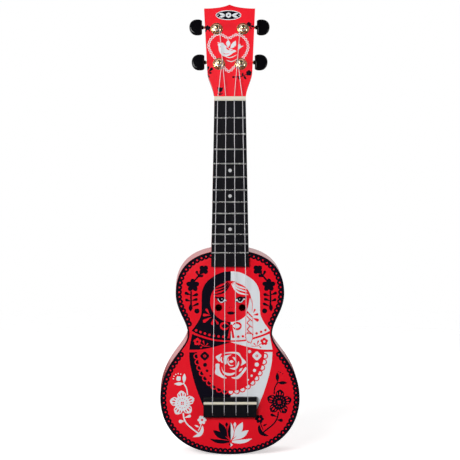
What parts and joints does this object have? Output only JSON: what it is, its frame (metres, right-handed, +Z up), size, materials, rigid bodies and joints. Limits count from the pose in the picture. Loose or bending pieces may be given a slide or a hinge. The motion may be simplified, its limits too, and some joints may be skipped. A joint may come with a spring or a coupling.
{
  "type": "soprano ukulele",
  "caption": "Small waisted lute-family instrument with nylon strings, a black fretted neck, geared tuners and a red hollow body printed with folk flowers and a nesting doll.",
  "frame": {"origin": "on the centre line at the nut's front face, in the plane of the soundboard's face, where a wall hanger's yoke takes the neck under the headstock", "axes": "+Z up the neck towards the headstock, +Y from the soundboard to the back, +X to the right seen from the front"},
  "size_m": [0.1596, 0.0699, 0.5137],
  "materials": {
    "red_lacquer": "gloss red lacquer over wood",
    "red_print": "thin printed and varnished laminate",
    "black_print": "black ink under varnish",
    "white_print": "white ink under varnish",
    "bare_wood": "unfinished pale wood",
    "black_wood": "wood stained black, satin",
    "fret_wire": "polished nickel silver wire",
    "dot_plastic": "pale pearl plastic",
    "cream_plastic": "cream moulded plastic",
    "gold_plate": "bright gold plating",
    "gear_brass": "cut brass",
    "black_plastic": "gloss black moulded plastic",
    "string_nylon": "clear white nylon monofilament"
  },
  "bodies": {
    "instrument": {"soundboard": "red_lacquer", "back": "red_lacquer", "rib_left": "red_lacquer", "rib_right": "red_lacquer", "neck_block": "bare_wood", "tail_block": "bare_wood", "top_linings": "bare_wood", "back_linings": "bare_wood", "top_braces": "bare_wood", "back_braces": "bare_wood", "bridge_plate": "bare_wood", "neck": "red_lacquer", "neck_dowels": "bare_wood", "fretboard": "black_wood", "frets": "fret_wire", "fret_dots": "dot_plastic", "headstock": "red_lacquer", "headstock_overlay": "red_print", "nut": "cream_plastic", "bridge": "black_wood", "saddle": "cream_plastic", "tuner_screws": "gold_plate", "g_bushing": "gold_plate", "g_tuner_plate": "gold_plate", "g_string": "string_nylon", "c_bushing": "gold_plate", "c_tuner_plate": "gold_plate", "c_string": "string_nylon", "e_bushing": "gold_plate", "e_tuner_plate": "gold_plate", "e_string": "string_nylon", "a_bushing": "gold_plate", "a_tuner_plate": "gold_plate", "a_string": "string_nylon"},
    "g_key": {"g_button": "black_plastic", "g_worm_shaft": "gold_plate"},
    "g_peg": {"g_post": "gold_plate", "g_gear": "gear_brass", "g_gear_screw": "gold_plate", "g_winding": "string_nylon"},
    "c_key": {"c_button": "black_plastic", "c_worm_shaft": "gold_plate"},
    "c_peg": {"c_post": "gold_plate", "c_gear": "gear_brass", "c_gear_screw": "gold_plate", "c_winding": "string_nylon"},
    "e_key": {"e_button": "black_plastic", "e_worm_shaft": "gold_plate"},
    "e_peg": {"e_post": "gold_plate", "e_gear": "gear_brass", "e_gear_screw": "gold_plate", "e_winding": "string_nylon"},
    "a_key": {"a_button": "black_plastic", "a_worm_shaft": "gold_plate"},
    "a_peg": {"a_post": "gold_plate", "a_gear": "gear_brass", "a_gear_screw": "gold_plate", "a_winding": "string_nylon"}
  },
  "joints": [
    {"name": "g_key_turn", "type": "hinge", "parent": "instrument", "child": "g_key", "pos_m": [-0.0124, 0.02549, 0.04265], "axis": [-1, 0, 0], "continuous": true},
    {"name": "g_peg_turn", "type": "hinge", "parent": "instrument", "child": "g_peg", "pos_m": [-0.0124, 0.00907, 0.04129], "axis": [0, -0.9703, 0.2419], "continuous": true},
    {"name": "c_key_turn", "type": "hinge", "parent": "instrument", "child": "c_key", "pos_m": [-0.015, 0.03541, 0.08244], "axis": [-1, 0, 0], "continuous": true},
    {"name": "c_peg_turn", "type": "hinge", "parent": "instrument", "child": "c_peg", "pos_m": [-0.015, 0.01899, 0.08107], "axis": [0, -0.9703, 0.2419], "continuous": true},
    {"name": "e_key_turn", "type": "hinge", "parent": "instrument", "child": "e_key", "pos_m": [0.015, 0.03541, 0.08244], "axis": [1, 0, 0], "continuous": true},
    {"name": "e_peg_turn", "type": "hinge", "parent": "instrument", "child": "e_peg", "pos_m": [0.015, 0.01899, 0.08107], "axis": [0, -0.9703, 0.2419], "continuous": true},
    {"name": "a_key_turn", "type": "hinge", "parent": "instrument", "child": "a_key", "pos_m": [0.0124, 0.02549, 0.04265], "axis": [1, 0, 0], "continuous": true},
    {"name": "a_peg_turn", "type": "hinge", "parent": "instrument", "child": "a_peg", "pos_m": [0.0124, 0.00907, 0.04129], "axis": [0, -0.9703, 0.2419], "continuous": true}
  ],
  "couplings": [
    {"joint": "g_peg_turn", "follows": "g_key_turn", "ratio": 0.083333},
    {"joint": "c_peg_turn", "follows": "c_key_turn", "ratio": 0.083333},
    {"joint": "e_peg_turn", "follows": "e_key_turn", "ratio": 0.083333},
    {"joint": "a_peg_turn", "follows": "a_key_turn", "ratio": 0.083333}
  ]
}
